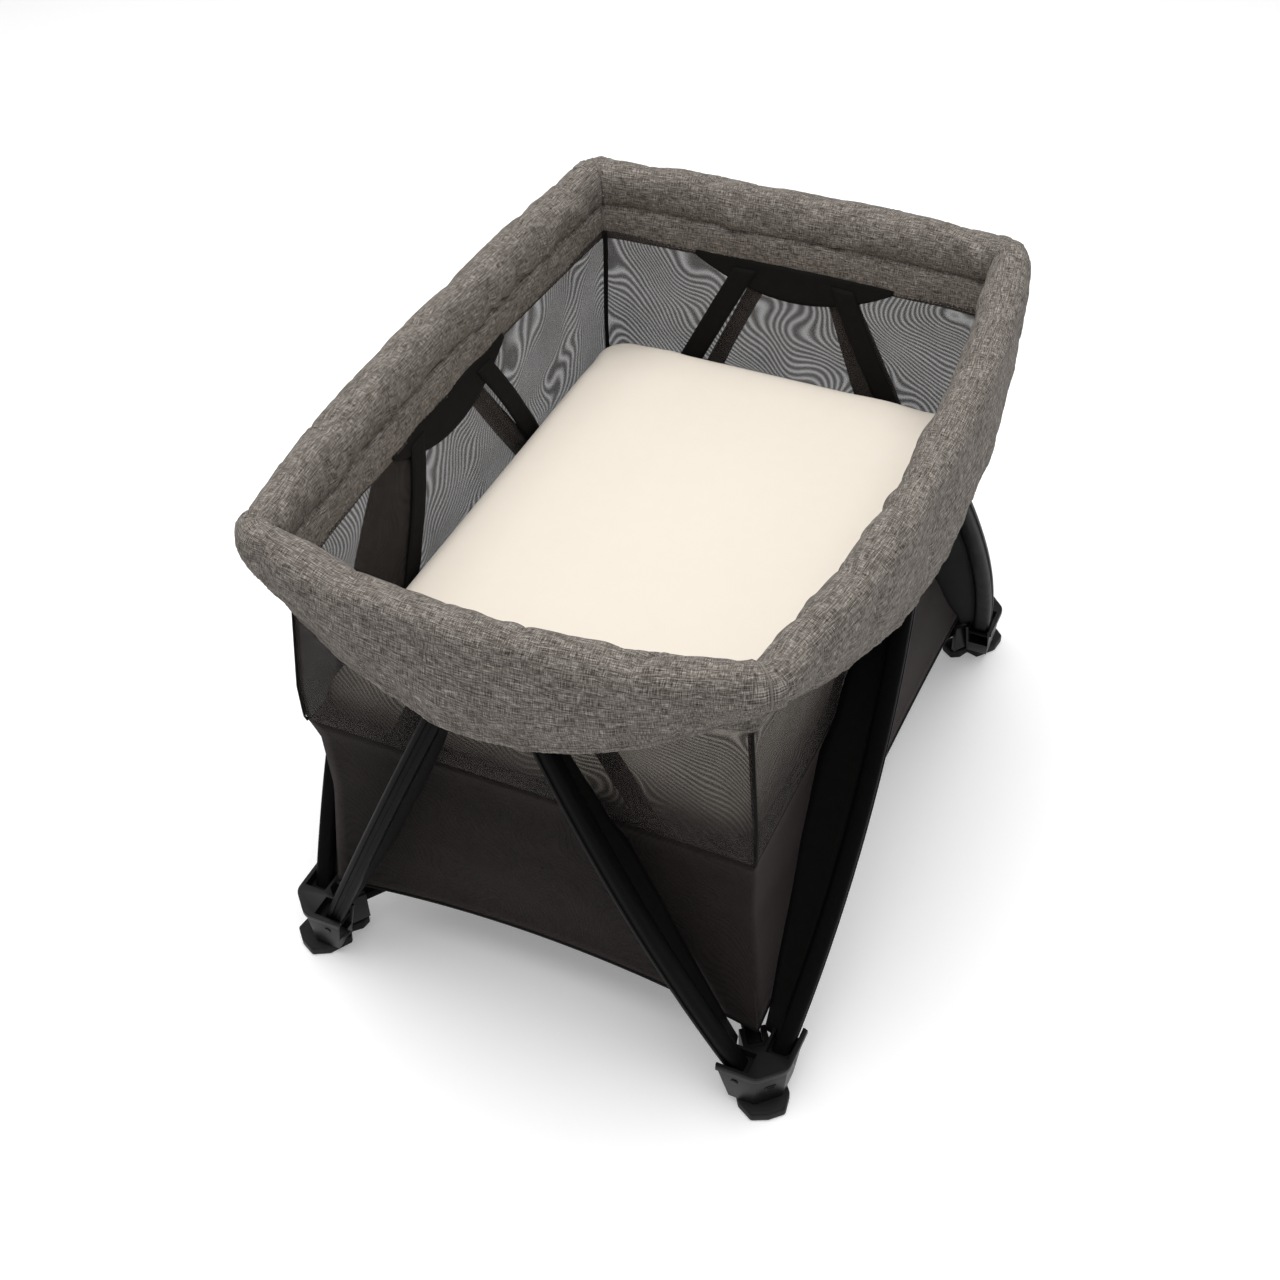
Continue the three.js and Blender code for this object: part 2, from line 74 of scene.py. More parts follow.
BASSINET_TOP, BASSINET_LOW = 0.480, 0.436
SKIRT_X, SKIRT_Y = 0.462, 0.326
SKIRT_Z, SKIRT_ARCH, SKIRT_TUCK = 0.104, 0.024, 0.010
FLOOR_Z = 0.098
STRAP_WIDTH, STRAP_SPREAD = 0.038, 0.088
STRAP_TOP_LONG, STRAP_TOP_SHORT = 0.095, 0.078
FLAP_HALF, FLAP_DEPTH = 0.160, 0.046
CORNER_ROUND = 0.024  # how far from a rim corner its rounding starts

DIAGONAL = math.atan2(FOOT_Y, FOOT_X)
FOLDED_X = FOLDED_RADIUS * math.cos(DIAGONAL)
FOLDED_Y = FOLDED_RADIUS * math.sin(DIAGONAL)
CORNERS = {
    "front_left": (-1, -1), "front_right": (1, -1), "rear_right": (1, 1), "rear_left": (-1, 1),
}


class Side:
    """One side of the pen, with its sizes and its way from its own terms to the frame's."""

    def __init__(self, name, along, out, long, ends):
        self.name, self.ends, self.long = name, ends, long
        self.along, self.out = np.array(along, float), np.array(out, float)
        self.half, self.corner_out = (RIM_X, RIM_Y) if long else (RIM_Y, RIM_X)
        self.bow, self.dip = (BOW_LONG, DIP_LONG) if long else (BOW_SHORT, DIP_SHORT)
        self.foot_along, self.foot_out = (FOOT_X, FOOT_Y) if long else (FOOT_Y, FOOT_X)
        self.leg_bow = LEG_BOW_LONG if long else LEG_BOW_SHORT
        self.leg_top = (FOLDED_X if long else FOLDED_Y) - LEG_INSET
        self.band = BAND_LONG if long else BAND_SHORT
        self.wall_along, self.wall_out = (WALL_X, WALL_Y) if long else (WALL_Y, WALL_X)
        self.skirt_along, self.skirt_out = (SKIRT_X, SKIRT_Y) if long else (SKIRT_Y, SKIRT_X)
        self.tuck = 0.0 if long else SKIRT_TUCK
        self.strap_top = STRAP_TOP_LONG if long else STRAP_TOP_SHORT
        self.other_bow = BOW_SHORT if long else BOW_LONG

    def place(self, along, out, z):
        """Points in the frame from arrays of along, out and z."""
        along, out, z = np.broadcast_arrays(*(np.asarray(v, float) for v in (along, out, z)))
        up = z[..., None] * np.array([0, 0, 1.0])
        return along[..., None] * self.along + out[..., None] * self.out + up

    def middleness(self, along):
        """1 in the middle of the side, 0 at its corners."""
        return np.clip(1 - (np.asarray(along) / self.half) ** 2, 0, 1)

    def rim_out(self, along):
        return self.corner_out + self.bow * self.middleness(along)

    def crest(self, along):
        return RIM_TOP - self.dip * self.middleness(along)


SIDES = [
    Side("front", (1, 0, 0), (0, -1, 0), True, ("left", "right")),
    Side("rear", (1, 0, 0), (0, 1, 0), True, ("left", "right")),
    Side("left_end", (0, 1, 0), (-1, 0, 0), False, ("front", "rear")),
    Side("right_end", (0, 1, 0), (1, 0, 0), False, ("front", "rear")),
]


# ---- materials ------------------------------------------------------------------------------
class Graph:
    """A material's node tree, with short calls to add and join nodes."""

    def __init__(self, name):
        self.material = bpy.data.materials.new(name)
        self.material.use_nodes = True
        self.tree = self.material.node_tree
        self.tree.nodes.clear()

    def node(self, kind, inputs=None, **settings):
        made = self.tree.nodes.new(kind)
        for key, value in settings.items():
            setattr(made, key, value)
        for key, value in (inputs or {}).items():
            if isinstance(value, bpy.types.NodeSocket):
                self.tree.links.new(value, made.inputs[key])
            else:
                made.inputs[key].default_value = value
        return made

    def math(self, operation, a, b=0.0, c=0.0):
        return self.node("ShaderNodeMath", {0: a, 1: b, 2: c}, operation=operation).outputs[0]

    def mapped(self, vector, scale):
        return self.node("ShaderNodeMapping", {"Vector": vector, "Scale": scale}).outputs[0]

    def noise(self, vector, scale, detail=2.0, rough=0.5):
        inputs = {"Vector": vector, "Scale": scale, "Detail": detail, "Roughness": rough}
        return self.node("ShaderNodeTexNoise", inputs).outputs["Fac"]

    def ramp(self, factor, stops):
        made = self.node("ShaderNodeValToRGB", {"Fac": factor})
        elements = made.color_ramp.elements
        for element, (position, colour) in zip(elements, stops[:2]):
            element.position, element.color = position, colour
        for position, colour in stops[2:]:
            elements.new(position).color = colour
        return made.outputs["Color"]

    def mix(self, factor, a, b):
        made = self.node("ShaderNodeMix", data_type="RGBA")
        for socket, value in ((0, factor), (6, a), (7, b)):
            if isinstance(value, bpy.types.NodeSocket):
                self.tree.links.new(value, made.inputs[socket])
            else:
                made.inputs[socket].default_value = value
        return made.outputs[2]

    def bump(self, height, strength, distance):
        inputs = {"Height": height, "Strength": strength, "Distance": distance}
        return self.node("ShaderNodeBump", inputs).outputs[0]

    def wave(self, vector, scale, distortion, detail=2.0, **settings):
        inputs = {"Vector": vector, "Scale": scale, "Distortion": distortion, "Detail": detail}
        return self.node("ShaderNodeTexWave", inputs, **settings).outputs["Fac"]

    def cloth_uv(self):
        return self.node("ShaderNodeUVMap", uv_map="cloth").outputs[0]

    def object_place(self):
        return self.node("ShaderNodeTexCoord").outputs["Object"]

    def finish(self, **inputs):
        shader = self.node("ShaderNodeBsdfPrincipled", inputs)
        self.node("ShaderNodeOutputMaterial", {"Surface": shader.outputs[0]})
        return self.material


def grey(value, warm=0.0):
    return (value * (1 + warm), value, value * (1 - warm), 1)


def melange_fabric():
    """Linen look: light and dark threads in both directions, of uneven thickness and colour."""
    g = Graph("melange_fabric")
    uv = g.cloth_uv()
    warp = g.noise(g.mapped(uv, (1050, 80, 1)), 1.0, 3, 0.7)
    weft = g.noise(g.mapped(uv, (80, 1050, 1)), 1.0, 3, 0.7)
    threads = g.math("MULTIPLY_ADD", g.math("ADD", warp, weft), 0.5)
    slubs = g.noise(g.mapped(uv, (34, 560, 1)), 1.0, 2, 0.5)
    patches = g.noise(uv, 22, 3)
    level = g.math("MULTIPLY_ADD", patches, 0.06, g.math("SUBTRACT", threads, 0.15))
    shade = g.math("MULTIPLY_ADD", slubs, 0.24, level)
    colour = g.ramp(shade, [
        (0.38, (0.018, 0.014, 0.011, 1)), (0.64, (0.390, 0.362, 0.330, 1)),
        (0.455, (0.074, 0.063, 0.054, 1)), (0.53, (0.160, 0.142, 0.126, 1)),
    ])
    fine = g.wave(uv, 210.0, 1.2, 1.0)
    height = g.math("MULTIPLY_ADD", fine, 0.25, threads)
    return g.finish(**{
        "Base Color": colour, "Roughness": 0.93, "Specular IOR Level": 0.18, "Sheen Weight": 0.06,
        "Sheen Roughness": 0.55, "Sheen Tint": (0.75, 0.71, 0.66, 1),
        "Normal": g.bump(height, 0.6, 0.0007),
    })


MESH_PITCH = 0.0018  # from hole to hole


def mesh_fabric(name, opacity, moire, dots, base, sheen):
    """See-through net with fine wavy bands. opacity, moire (its change in the bands) and dots (its
    change from hole to hole) are shares of 1."""
    g = Graph(name)
    uv = g.cloth_uv()
    bend = g.node("ShaderNodeCombineXYZ", {0: g.noise(uv, 4.5, 1), 1: g.noise(uv, 6.0, 1)}).outputs[0]
    strength = (0.34, 0.34, 0.34)
    bent = g.node("ShaderNodeVectorMath", {0: bend, 1: strength, 2: uv}, operation="MULTIPLY_ADD")
    bands = g.wave(bent.outputs[0], 46.0, 0.6, 1.0, bands_direction="DIAGONAL")
    split = g.node("ShaderNodeSeparateXYZ", {0: uv})
    turns_per_metre = 2 * math.pi / MESH_PITCH
    across, down = (g.math("SINE", g.math("MULTIPLY", split.outputs[k], turns_per_metre)) for k in (0, 1))
    hole = g.math("MULTIPLY", across, down)
    patches = g.math("SUBTRACT", g.noise(uv, 8, 2), 0.5)
    banded = g.math("MULTIPLY_ADD", g.math("SUBTRACT", bands, 0.5), moire, opacity)
    shade = g.math("MULTIPLY_ADD", patches, -0.5 * moire, banded)
    cover = g.math("MULTIPLY_ADD", hole, dots, shade)
    dark, light = (tuple(c * k for c in base) + (1,) for k in (0.75, 1.35))
    return g.finish(**{
        "Base Color": g.mix(g.noise(uv, 30, 2), dark, light),
        "Roughness": 0.85, "Specular IOR Level": 0.12,
        "Sheen Weight": sheen, "Sheen Roughness": 0.4, "Sheen Tint": (0.78, 0.66, 0.67, 1),
        "Normal": g.bump(hole, 0.3, 0.0004), "Alpha": g.node("ShaderNodeClamp", {0: cover}).outputs[0],
    })


def webbing():
    """Black lining cloth and tape with fine ribs."""
    g = Graph("webbing")
    uv = g.cloth_uv()
    ribs = g.wave(uv, 160.0, 0.4)
    fuzz = g.noise(uv, 900, 2)
    colour = g.mix(g.noise(uv, 60, 2), grey(0.0030, 0.06), grey(0.0062, 0.08))
    return g.finish(**{
        "Base Color": colour, "Roughness": 0.82, "Specular IOR Level": 0.12,
        "Normal": g.bump(g.math("MULTIPLY_ADD", fuzz, 0.5, ribs), 0.35, 0.0004),
    })


def sheet_fabric():
    """Cream jersey of the fitted sheet."""
    g = Graph("sheet_fabric")
    where = g.object_place()
    knit = g.wave(where, 260.0, 1.0, 1.0)
    soft = g.noise(where, 9, 2)
    colour = g.mix(g.noise(where, 40, 3), (0.672, 0.612, 0.532, 1), (0.690, 0.632, 0.554, 1))
    colour = g.mix(g.math("MULTIPLY", soft, 0.25), colour, (0.655, 0.588, 0.500, 1))
    return g.finish(**{
        "Base Color": colour, "Roughness": 0.9, "Specular IOR Level": 0.15, "Sheen Weight": 0.08,
        "Subsurface Weight": 0.04, "Subsurface Scale": 0.004,
        "Normal": g.bump(g.math("MULTIPLY_ADD", knit, 0.2, soft), 0.12, 0.0006),
    })


def leg_tube():
    """Black anodised tube: satin, with faint drawn lines and worn spots."""
    g = Graph("leg_tube")
    where = g.object_place()
    drawn = g.noise(g.mapped(where, (240, 240, 9)), 1.0, 3)
    wear = g.noise(where, 26, 4, 0.6)
    colour = g.mix(drawn, grey(0.0024, 0.03), grey(0.0048, 0.03))
    rough = g.math("MULTIPLY_ADD", wear, 0.14, g.math("MULTIPLY_ADD", drawn, 0.08, 0.33))
    return g.finish(**{
        "Base Color": colour, "Roughness": rough, "Specular IOR Level": 0.03,
        "Normal": g.bump(drawn, 0.06, 0.0003),
    })


def moulded(name, tone, rough, grain):
    """Fine-textured moulded plastic or rubber, a little shinier where it is rubbed."""
    g = Graph(name)
    where = g.object_place()
    texture = g.noise(where, grain, 2)
    rubbed = g.noise(where, 34, 3)
    colour = g.mix(rubbed, grey(tone * 0.85, 0.03), grey(tone * 1.25, 0.03))
    return g.finish(**{
        "Base Color": colour, "Roughness": g.math("MULTIPLY_ADD", rubbed, -0.14, rough),
        "Specular IOR Level": 0.22, "Normal": g.bump(texture, 0.22, 0.0004),
    })


def thread():
    """Grey-brown sewing thread of the seams."""
    g = Graph("thread")
    where = g.object_place()
    colour = g.mix(g.noise(where, 800, 2), (0.10, 0.085, 0.072, 1), (0.19, 0.165, 0.145, 1))
    return g.finish(**{"Base Color": colour, "Roughness": 0.8, "Sheen Weight": 0.2})


MELANGE = melange_fabric()
PLUM = (0.0115, 0.0082, 0.0080)
NET = mesh_fabric("mesh_fabric", 0.68, 0.24, 0.08, (0.034, 0.029, 0.027), 0.0)
SKIRT_NET = mesh_fabric("skirt_mesh", 0.960, 0.045, 0.07, PLUM, 0.09)
TRAY_NET = mesh_fabric("tray_cloth", 1.2, 0.0, 0.0, PLUM, 0.0)
WEBBING = webbing()
SHEET = sheet_fabric()
TUBE = leg_tube()
PLASTIC = moulded("black_plastic", 0.0062, 0.46, 1500)
RUBBER = moulded("rubber", 0.0060, 0.66, 1100)
THREAD = thread()


# ---- mesh helpers ---------------------------------------------------------------------------
def make(name, points, faces, material, uv=None, smooth=True):
    """A mesh object; uv gives one (u, v) for each point, in metres of cloth."""
    mesh = bpy.data.meshes.new(name)
    mesh.from_pydata([tuple(p) for p in np.asarray(points).reshape(-1, 3)], [], [tuple(f) for f in faces])
    if uv is not None:
        layer = mesh.uv_layers.new(name="cloth")
        index = np.zeros(len(mesh.loops), np.int32)
        mesh.loops.foreach_get("vertex_index", index)
        layer.data.foreach_set("uv", np.asarray(uv, float).reshape(-1, 2)[index].ravel())
    b = bmesh.new()
    b.from_mesh(mesh)
    bmesh.ops.recalc_face_normals(b, faces=b.faces)
    b.to_mesh(mesh)
    b.free()
    mesh.polygons.foreach_set("use_smooth", [smooth] * len(mesh.polygons))
    mesh.materials.append(material)
    made = bpy.data.objects.new(name, mesh)
    bpy.context.scene.collection.objects.link(made)
    return made


def grid_faces(columns, rows, start=0, closed=False):
    """Faces between columns x rows points; closed joins the last row to the first."""
    faces = []
    for i in range(columns - 1):
        for j in range(rows if closed else rows - 1):
            k = (j + 1) % rows
            a, b = start + i * rows, start + (i + 1) * rows
            faces.append((a + j, a + k, b + k, b + j))
    return faces


def bar_faces(count, size):
    """Faces of a closed bar: count rings of size points, and a face on both ends."""
    ends = [tuple(range(size)), tuple(range((count - 1) * size, count * size))]
    return grid_faces(count, size, closed=True) + ends


def circle(radius, count):
    turns = np.linspace(0, 2 * math.pi, count + 1)[:-1]
    return np.stack([np.cos(turns), np.sin(turns)], -1) * radius


def lengths_along(line):
    """Distance of each point of a line from its start."""
    return np.concatenate([[0], np.cumsum(np.linalg.norm(np.diff(line, axis=0), axis=1))])


def points_at(line, wanted):
    """Points of a line at the wanted distances from its start."""
    length = lengths_along(line)
    return np.stack([np.interp(wanted, length, line[:, k]) for k in range(line.shape[1])], -1)


def normals_of(grid):
    """Unit normals of a columns x rows grid of points."""
    across, down = np.gradient(grid, axis=0), np.gradient(grid, axis=1)
    n = np.cross(across, down)
    return n / np.maximum(np.linalg.norm(n, axis=-1, keepdims=True), 1e-12)


def cloth_lengths(grid):
    """(u, v) of a grid: u is measured along its middle row, v down each column."""
    step_u = np.linalg.norm(np.diff(grid, axis=0), axis=-1).mean(axis=1)
    step_v = np.linalg.norm(np.diff(grid, axis=1), axis=-1).mean(axis=0)
    u = np.concatenate([[0], np.cumsum(step_u)])
    v = np.concatenate([[0], np.cumsum(step_v)])
    return np.stack(np.meshgrid(u, v, indexing="ij"), -1)


def shell(name, grid, thickness, material, outward):
    """A sheet with real thickness: the grid is its face, and its back lies inwards."""
    columns, rows = grid.shape[:2]
    n = normals_of(grid)
    if np.einsum("ijk,ijk->ij", n, outward).mean() < 0:
        n = -n
    back = grid - n * np.asarray(thickness)[..., None]
    total = columns * rows
    faces = grid_faces(columns, rows) + [tuple(reversed(f)) for f in grid_faces(columns, rows, total)]
    ring = [(i, 0) for i in range(columns)] + [(columns - 1, j) for j in range(1, rows)]
    ring += [(i, rows - 1) for i in range(columns - 2, -1, -1)] + [(0, j) for j in range(rows - 2, 0, -1)]
    ids = [i * rows + j for i, j in ring]
    for a, b in zip(ids, ids[1:] + ids[:1]):
        faces.append((a, b, total + b, total + a))
    uv = cloth_lengths(grid)
    return make(name, np.concatenate([grid.reshape(-1, 3), back.reshape(-1, 3)]), faces, material,
                np.concatenate([uv.reshape(-1, 2), uv.reshape(-1, 2)]))


def sweep(name, line, profile, outwards, material):
    """A closed bar along a line of points. profile holds (across, out) pairs round its section."""
    line, profile = np.asarray(line, float), np.asarray(profile, float)
    tangent = np.gradient(line, axis=0)
    tangent /= np.linalg.norm(tangent, axis=1, keepdims=True)
    out = outwards - tangent * (tangent @ outwards)[:, None]
    out /= np.linalg.norm(out, axis=1, keepdims=True)
    across = np.cross(tangent, out)
    rings = line[:, None] + across[:, None] * profile[None, :, :1] + out[:, None] * profile[None, :, 1:]
    return make(name, rings, bar_faces(len(line), len(profile)), material, cloth_lengths(rings))


def rounded(half_w, half_h, radius, per_corner=5):
    """A rounded rectangle as (w, h) pairs."""
    turns = np.linspace(0, math.pi / 2, per_corner)
    points = []
    for k, (sx, sy) in enumerate(((1, 1), (-1, 1), (-1, -1), (1, -1))):
        for t in turns + k * math.pi / 2:
            w = sx * (half_w - radius) + radius * math.cos(t)
            h = sy * (half_h - radius) + radius * math.sin(t)
            points.append((w, h))
    return np.array(points)


def apply_modifiers(made):
    """Puts the result of an object's modifiers into its mesh."""
    bpy.context.view_layer.update()
    graph = bpy.context.evaluated_depsgraph_get()
    mesh = bpy.data.meshes.new_from_object(made.evaluated_get(graph), depsgraph=graph)
    old = made.data
    made.modifiers.clear()
    made.data = mesh
    mesh.name = made.name
    if old.users == 0:
        bpy.data.meshes.remove(old)
    return made


def bevelled(node, width, material, segments=2):
    """A copy of a hard CAD node with its edges rounded, which stands for it."""
    made = bpy.data.objects.new(f"{node}_shell", NODES[node].data.copy())
    bpy.context.scene.collection.objects.link(made)
    b = bmesh.new()
    b.from_mesh(made.data)
    bmesh.ops.remove_doubles(b, verts=b.verts, dist=1e-6)
    bmesh.ops.dissolve_limit(b, angle_limit=math.radians(1), verts=b.verts, edges=b.edges)
    b.to_mesh(made.data)
    b.free()
    made.data.materials.clear()
    made.data.materials.append(material)
    bevel = made.modifiers.new("edges", "BEVEL")
    bevel.width, bevel.segments = width, segments
    bevel.limit_method, bevel.angle_limit = "ANGLE", math.radians(28)
    apply_modifiers(made)
    made.data.polygons.foreach_set("use_smooth", [True] * len(made.data.polygons))
    made.data.set_sharp_from_angle(angle=math.radians(32))
    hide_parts(node)
    return made


def settle(made, body):
    """A piece rides on its body."""
    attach(made, body)
    return made


def crumple(made, s):
    """Gives a piece of a side's cloth a mesh of its own."""
    tuple(s.place(0.0, s.corner_out, 0.7))
    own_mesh(made)
    return made


def lumps(points, seed, scales):
    """Smooth random height of each point: noise at the given (size, height) pairs."""
    flat = points.reshape(-1, 3)
    total = np.zeros(len(flat))
    for k, (size, height) in enumerate(scales):
        places = [(p[0] / size[0] + seed, p[1] / size[1] - seed * 2, p[2] + k * 9.7) for p in flat]
        total += [height * noise.noise(Vector(place)) for place in places]
    return total.reshape(points.shape[:-1])


def puff(made, pinned, pressure, frames=20, cap=0.006, grow=0.0, stiffness=12.0):
    """Swells cloth with Blender's cloth simulation, with the pinned share of each point held."""
    rest = np.array([v.co for v in made.data.vertices])
    group = made.vertex_groups.new(name="held")
    for index, weight in enumerate(pinned):
        if weight > 0:
            group.add([index], float(weight), "REPLACE")
    cloth = made.modifiers.new("cloth", "CLOTH")
    c = cloth.settings
    c.quality, c.mass, c.air_damping = 4, 0.25, 4.0
    c.tension_stiffness = c.compression_stiffness = stiffness
    c.shear_stiffness, c.bending_stiffness = stiffness * 0.5, 0.4
    c.use_pressure, c.uniform_pressure_force = True, pressure
    c.shrink_min = -grow
    c.vertex_group_mass = "held"
    c.effector_weights.gravity = 0.0
    cloth.collision_settings.use_collision = False
    cloth.point_cache.frame_start, cloth.point_cache.frame_end = 1, frames
    for step in range(1, frames + 1):
        bpy.context.scene.frame_set(step)
    graph = bpy.context.evaluated_depsgraph_get()
    moved = np.array([v.co for v in made.evaluated_get(graph).data.vertices]) - rest
    length = np.linalg.norm(moved, axis=1, keepdims=True)
    moved *= np.minimum(1, cap / np.maximum(length, 1e-9))
    made.modifiers.remove(cloth)
    made.vertex_groups.clear()
    bpy.context.scene.frame_set(1)
    made.data.vertices.foreach_set("co", (rest + moved).ravel())
    made.data.update()
    return made


# ---- rim cover ------------------------------------------------------------------------------
def smooth_line(points, count):
    """A smooth curve through control points, evenly spaced."""
    p = np.asarray(points, float)
    p = np.concatenate([[2 * p[0] - p[1]], p, [2 * p[-1] - p[-2]]])
    made = []
    for a, b, c, d in zip(p, p[1:], p[2:], p[3:]):
        for t in np.linspace(0, 1, 12, endpoint=False):
            square, cube = 2 * a - 5 * b + 4 * c - d, 3 * b - a - 3 * c + d
            made.append(0.5 * (2 * b + (c - a) * t + square * t**2 + cube * t**3))
    made.append(p[-2])
    made = np.array(made)
    return points_at(made, np.linspace(0, lengths_along(made)[-1], count))


# The roll's section, from its seam over the crest to the band: (out, z) from the crest.
ROLL = smooth_line([
    (-0.0205, -SEAM), (-0.0272, -0.0555), (-0.0305, -0.040), (-0.0278, -0.021), (-0.0205, -0.0072),
    (-0.0100, -0.0010), (0.0, 0.0), (0.0100, -0.0012), (0.0190, -0.0065), (0.0245, -0.0170), (0.0268, -0.033),
], 31)
VALANCE_ROWS, BAND_ROWS = 11, 27
SEAM_ROW = VALANCE_ROWS - 1


def cover_path(s, columns):
    """Middle line of the rim's roll: points in plan, unit outwards vectors and place along."""
    foot = s.half - CORNER_ROUND
    across = s.corner_out - CORNER_ROUND
    start = np.array([foot, s.rim_out(foot)])
    corner = np.array([s.half, s.corner_out])
    neighbour = s.half + s.other_bow * (1 - (across / s.corner_out) ** 2)
    end = np.array([neighbour, across])
    t = np.linspace(0, 0.5, 9)[1:, None]
    rounding = (1 - t) ** 2 * start + 2 * t * (1 - t) * corner + t**2 * end
    straight = np.linspace(-foot, foot, columns - 2 * len(rounding))
    line = np.stack([straight, s.rim_out(straight)], -1)
    mirrored = rounding[::-1] * np.array([-1, 1])
    line = np.concatenate([mirrored, line, rounding])
    tangent = np.gradient(line, axis=0)
    # the outermost sections lie on the corner's mitre
    mitre = np.array([end[0] - start[0], end[1] - start[1]])
    tangent[-1] = mitre
    tangent[0] = mitre * np.array([1, -1])
    tangent /= np.linalg.norm(tangent, axis=1, keepdims=True)
    outward = np.stack([-tangent[:, 1], tangent[:, 0]], -1)
    return line, outward


def rim_cover(s, columns):
    """A side's cover: inner flap, padded roll and outer band in one."""
    line, outward = cover_path(s, columns)
    along = np.clip(line[:, 0], -s.half, s.half)
    share = 1 - np.cos(np.abs(along) / s.half * math.pi / 2) ** BAND_POWER
    depth = s.band + (BAND_CORNER - s.band) * share
    middle = s.middleness(along)
    flare = BAND_FLARE * middle - 0.010 * (1 - middle) ** 2
    slim = 1 - 0.07 * (1 - middle) ** 3  # the roll is slimmer towards the corners
    low = np.linspace(0, 1, VALANCE_ROWS)[:-1]
    flap_out = -0.0268 - 0.0030 * np.sin(math.pi * low) + 0.0050 * low**8
    valance = np.stack([flap_out, -VALANCE + (VALANCE - SEAM) * low], -1)
    inner = np.concatenate([valance, ROLL])
    down = np.linspace(0, 1, BAND_ROWS)[1:]
    out = np.zeros((columns, len(inner) + len(down)))
    z = np.zeros_like(out)
    out[:, : len(inner)], z[:, : len(inner)] = inner[:, 0] * slim[:, None], inner[:, 1]
    top_o, top_z = ROLL[-1]
    belly = 0.005 * np.minimum(1, depth / 0.15)[:, None] * np.sin(math.pi * down)
    out[:, len(inner):] = top_o * slim[:, None] + flare[:, None] * down + belly - 0.004 * down**3
    z[:, len(inner):] = top_z + (-depth[:, None] - top_z) * down
    plan = line[:, None] + outward[:, None] * out[..., None]
    grid = s.place(plan[..., 0], plan[..., 1], s.crest(along)[:, None] + z)
    # padding that is not quite even, and gathers that run off the inner seam
    uv = cloth_lengths(grid)
    rows = np.arange(grid.shape[1])
    reach = np.where(rows > SEAM_ROW, 13.0, 5.0)
    near_seam = np.exp(-((rows - SEAM_ROW) / reach) ** 2)
    near_seam = np.maximum(near_seam, 0.30 * np.exp(-((rows - rows[-1]) / 14.0) ** 2))
    order = np.arange(columns)
    ends = np.clip(np.minimum(order, order[::-1]) / 4, 0, 1)[:, None]
    seed = 3.1 * (1 + SIDES.index(s))
    flat = np.concatenate([uv, np.zeros(uv.shape[:-1] + (1,))], -1)
    height = lumps(flat, seed, [((0.110, 0.070), 0.0038), ((0.045, 0.050), 0.0018)])
    gathers = lumps(flat, seed + 5, [((0.020, 0.110), 0.0060), ((0.038, 0.150), 0.0065)]) * near_seam
    height = height + gathers * np.where(np.abs(rows - SEAM_ROW) < 2, 0.25, 1.0)
    height = np.maximum(height, np.where(rows < SEAM_ROW + 16, -0.0008, -0.0035))
    n = normals_of(grid)
    facing = np.concatenate([outward, np.zeros((columns, 1))], -1)
    if np.sum(n[columns // 2, -1] * s.place(facing[columns // 2, 0], facing[columns // 2, 1], 0)) < 0:
        n = -n
    grid = grid + n * (height * ends)[..., None]
    sheet = make(f"{s.name}_cover", grid, grid_faces(*grid.shape[:2]), MELANGE)
    held = np.zeros(grid.shape[:2])
    held[:, SEAM_ROW] = 1
    held[:, :SEAM_ROW] = 0.85
    held[:, -4:] = 0.85
    held[:2], held[-2:] = 1, 1
    puff(sheet, held.ravel(), 1.6, cap=0.006, grow=0.02)
    grid = np.array([v.co for v in sheet.data.vertices]).reshape(grid.shape)
    bpy.data.objects.remove(sheet)
    thick = np.full(grid.shape[:2], 0.0045)
    hem = np.zeros(grid.shape[:2])
    hem[:, -3:] = 0.0012
    thick += hem
    made = shell(f"{s.name}_rim_cover", grid + n * hem[..., None], thick, MELANGE, n)
    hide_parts(*(f"{s.name}_rim_cover_{end}" for end in s.ends))
    settle(made, f"{s.name}_hub")
    crumple(made, s)
    # stitching beside the seam and above the hem
    for label, row, lift in (
        ("seam", SEAM_ROW, 0.0010), ("hem", grid.shape[1] - 4, 0.0014), ("valance", 1, 0.0008),
    ):
        stitch_line(s, label, grid[2:-2, row] + n[2:-2, row] * lift)
    if s.long:
        for number, end in enumerate(s.ends):
            corner_piping(s, grid[0 if number == 0 else -1], end)


def corner_piping(s, line, end):
    """The seam where two sides' covers meet."""
    line = line[::2] if len(line) % 2 else np.concatenate([line[::2], line[-1:]])
    made = sweep(f"{s.name}_cover_seam_{end}", line, circle(0.0011, 6), s.along + 0.3 * s.out, THREAD)
    crumple(settle(made, f"{s.name}_hub"), s)


def stitch_line(s, label, line):
    """A row of stitches: short thread loops with gaps between them."""
    pitch, stitch, radius = 0.0062, 0.0044, 0.00045
    starts = np.arange(0.004, lengths_along(line)[-1] - stitch, pitch)
    turns = np.linspace(0, 2 * math.pi, 5)[:-1]
    points, faces = [], []
    for begin in starts:
        at = points_at(line, begin + stitch * np.array([0, 0.5, 1]))
        way = at[2] - at[0]
        way /= np.linalg.norm(way)
        side_way = np.cross(way, (0, 0, 1.0))
        side_way /= np.linalg.norm(side_way)
        up = np.cross(side_way, way)
        base = len(points)
        for k, p in enumerate(at):
            size = radius * (0.35 if k != 1 else 1)
            points += [p + size * (math.cos(t) * side_way + math.sin(t) * up) for t in turns]
        faces += [tuple(base + i for i in f) for f in grid_faces(3, 4, closed=True)]
        faces += [tuple(base + i for i in range(4)), tuple(base + 8 + i for i in range(4))]
    made = make(f"{s.name}_{label}_stitches", points, faces, THREAD)
    settle(made, f"{s.name}_hub")
    crumple(made, s)


for side in SIDES:
    rim_cover(side, 210 if side.long else 156)


